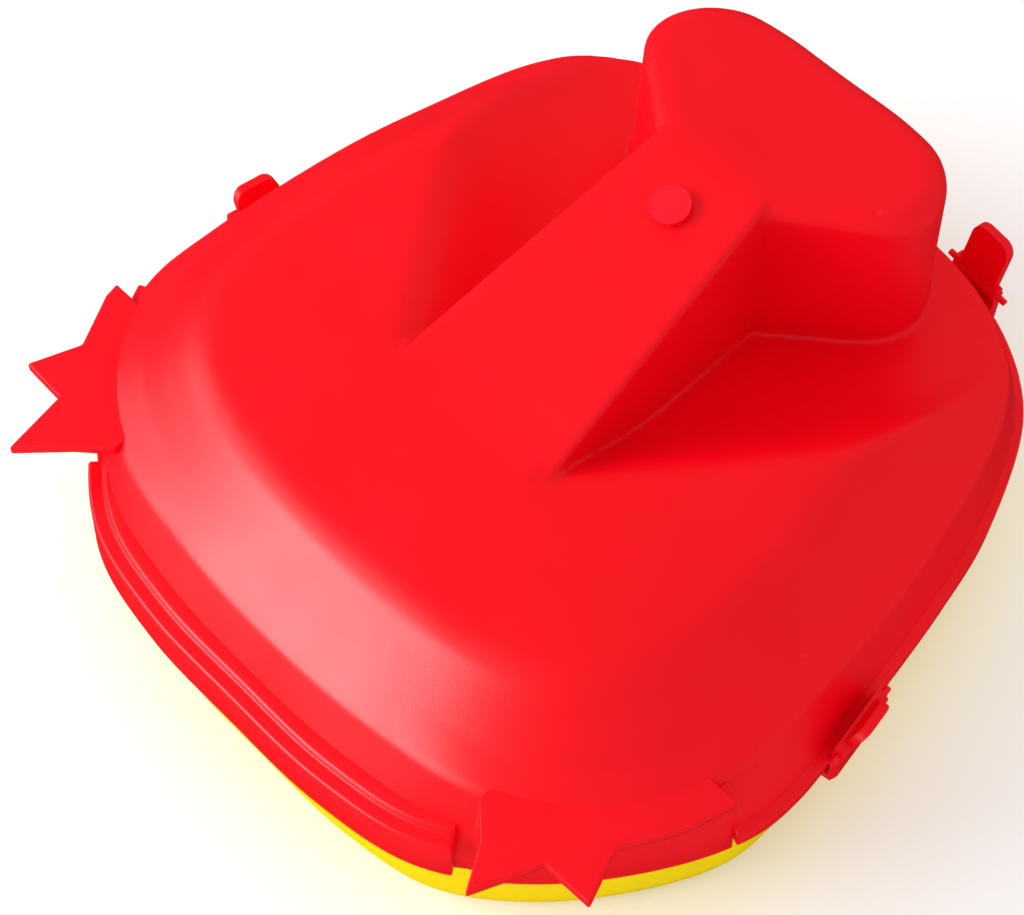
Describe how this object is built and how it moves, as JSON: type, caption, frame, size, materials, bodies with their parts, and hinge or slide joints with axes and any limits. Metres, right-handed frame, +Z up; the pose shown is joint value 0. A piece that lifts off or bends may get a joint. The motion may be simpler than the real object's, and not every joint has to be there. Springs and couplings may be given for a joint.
{
  "type": "sharps container",
  "caption": "Low bench sharps container: domed cover with sloping ridge and hood over a hinged rear inlet, spiked corner plates, rocking clips, shallow tray.",
  "frame": {"origin": "centre of the bounding box at the bottom of the tray", "axes": "+X to the right between the two corner plates, +Y from the front rim towards the hood, +Z up"},
  "size_m": [0.1478, 0.1512, 0.0672],
  "materials": {
    "red_moulding": "satin to glossy moulded plastic with a fine grain",
    "yellow_moulding": "satin moulded plastic",
    "steel_pin": "drawn wire",
    "seal_rubber": "matt"
  },
  "bodies": {
    "container": {"cover_shell": "red_moulding", "base_tray": "yellow_moulding", "perimeter_seal": "seal_rubber", "chute_baffle": "yellow_moulding", "baffle_rivet": "red_moulding", "inlet_lid_pin": "steel_pin", "anti_return_flap_pin": "steel_pin", "latch_left_pin": "red_moulding", "latch_right_pin": "red_moulding", "latch_back_left_pin": "red_moulding", "latch_back_right_pin": "red_moulding"},
    "lid": {"inlet_lid": "red_moulding"},
    "flap": {"anti_return_flap": "yellow_moulding"},
    "left_clip": {"latch_left": "red_moulding"},
    "right_clip": {"latch_right": "red_moulding"},
    "back_left_clip": {"latch_back_left": "red_moulding"},
    "back_right_clip": {"latch_back_right": "red_moulding"}
  },
  "joints": [
    {"name": "lid_hinge", "type": "hinge", "parent": "container", "child": "lid", "pos_m": [0, 0.06156, 0.0546], "axis": [1, 0, 0], "range_deg": [0, 90]},
    {"name": "flap_hinge", "type": "hinge", "parent": "container", "child": "flap", "pos_m": [0, 0.05666, 0.0572], "axis": [1, 0, 0], "range_deg": [-60, 0]},
    {"name": "left_clip_rock", "type": "hinge", "parent": "container", "child": "left_clip", "pos_m": [-0.07079, -0.00707, 0.0249], "axis": [0.1564, 0.9877, 0], "range_deg": [0, 28]},
    {"name": "right_clip_rock", "type": "hinge", "parent": "container", "child": "right_clip", "pos_m": [0.07079, -0.00707, 0.0249], "axis": [0.1564, -0.9877, 0], "range_deg": [0, 28]},
    {"name": "back_left_clip_rock", "type": "hinge", "parent": "container", "child": "back_left_clip", "pos_m": [-0.02815, 0.07245, 0.0249], "axis": [0.9903, 0.1392, 0], "range_deg": [0, 28]},
    {"name": "back_right_clip_rock", "type": "hinge", "parent": "container", "child": "back_right_clip", "pos_m": [0.02815, 0.07245, 0.0249], "axis": [0.9903, -0.1392, 0], "range_deg": [0, 28]}
  ]
}
